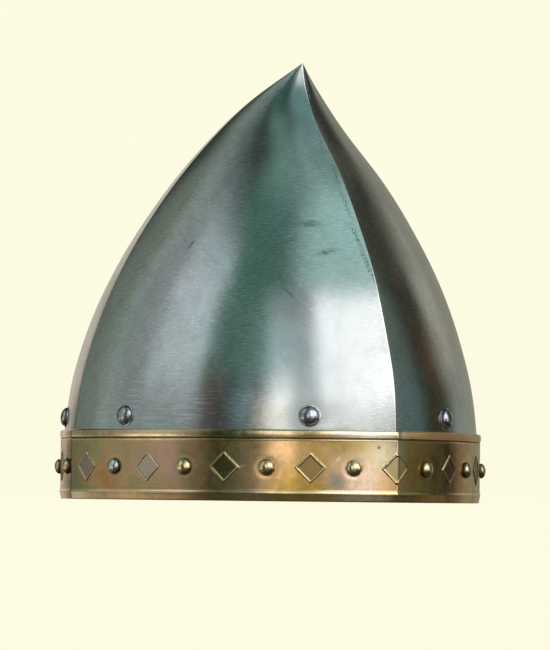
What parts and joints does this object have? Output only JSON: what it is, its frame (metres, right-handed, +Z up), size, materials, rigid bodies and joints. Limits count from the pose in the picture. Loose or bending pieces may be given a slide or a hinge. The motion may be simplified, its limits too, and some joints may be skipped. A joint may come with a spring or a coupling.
{
  "type": "pointed helmet",
  "caption": "Pointed steel helmet of welded plates with a forward-leaning tip, a riveted brass brow band with embossed diamonds and a riveted leather liner.",
  "frame": {"origin": "middle of the length and width, on the plane of the rim", "axes": "+Z up, -Y towards the front ridge that the point leans to, +X towards the wearer's left"},
  "size_m": [0.2158, 0.2632, 0.2166],
  "materials": {
    "plate_steel": "satin, brushed",
    "rivet_steel": "polished",
    "band_brass": "satin, lightly tarnished",
    "rivet_brass": "polished, lightly tarnished",
    "liner_leather": "matte"
  },
  "bodies": {
    "root": {"skull_plate_front_left": "plate_steel", "skull_plate_front_right": "plate_steel", "skull_plate_rear_left": "plate_steel", "skull_plate_rear_right": "plate_steel", "brow_band": "band_brass", "band_rivet_1": "rivet_brass", "band_rivet_2": "rivet_brass", "band_rivet_3": "rivet_brass", "band_rivet_4": "rivet_brass", "band_rivet_5": "rivet_brass", "band_rivet_6": "rivet_brass", "band_rivet_7": "rivet_brass", "band_rivet_8": "rivet_brass", "band_rivet_9": "rivet_brass", "band_rivet_10": "rivet_brass", "band_rivet_11": "rivet_brass", "band_rivet_12": "rivet_brass", "band_rivet_13": "rivet_brass", "band_rivet_14": "rivet_brass", "band_rivet_15": "rivet_brass", "band_rivet_16": "rivet_brass", "band_rivet_17": "rivet_brass", "liner_headband": "liner_leather", "liner_rivet_left_1": "rivet_steel", "liner_rivet_left_2": "rivet_steel", "liner_rivet_left_3": "rivet_steel", "liner_rivet_left_4": "rivet_steel", "liner_rivet_right_1": "rivet_steel", "liner_rivet_right_2": "rivet_steel", "liner_rivet_right_3": "rivet_steel", "liner_rivet_right_4": "rivet_steel", "liner_washer_left_1": "rivet_steel", "liner_washer_left_2": "rivet_steel", "liner_washer_left_3": "rivet_steel", "liner_washer_left_4": "rivet_steel", "liner_washer_right_1": "rivet_steel", "liner_washer_right_2": "rivet_steel", "liner_washer_right_3": "rivet_steel", "liner_washer_right_4": "rivet_steel", "liner_tongue_left_1": "liner_leather", "liner_tongue_left_2": "liner_leather", "liner_tongue_left_3": "liner_leather", "liner_tongue_left_4": "liner_leather", "liner_tongue_right_1": "liner_leather", "liner_tongue_right_2": "liner_leather", "liner_tongue_right_3": "liner_leather", "liner_tongue_right_4": "liner_leather", "liner_crown_patch": "liner_leather"}
  },
  "joints": []
}
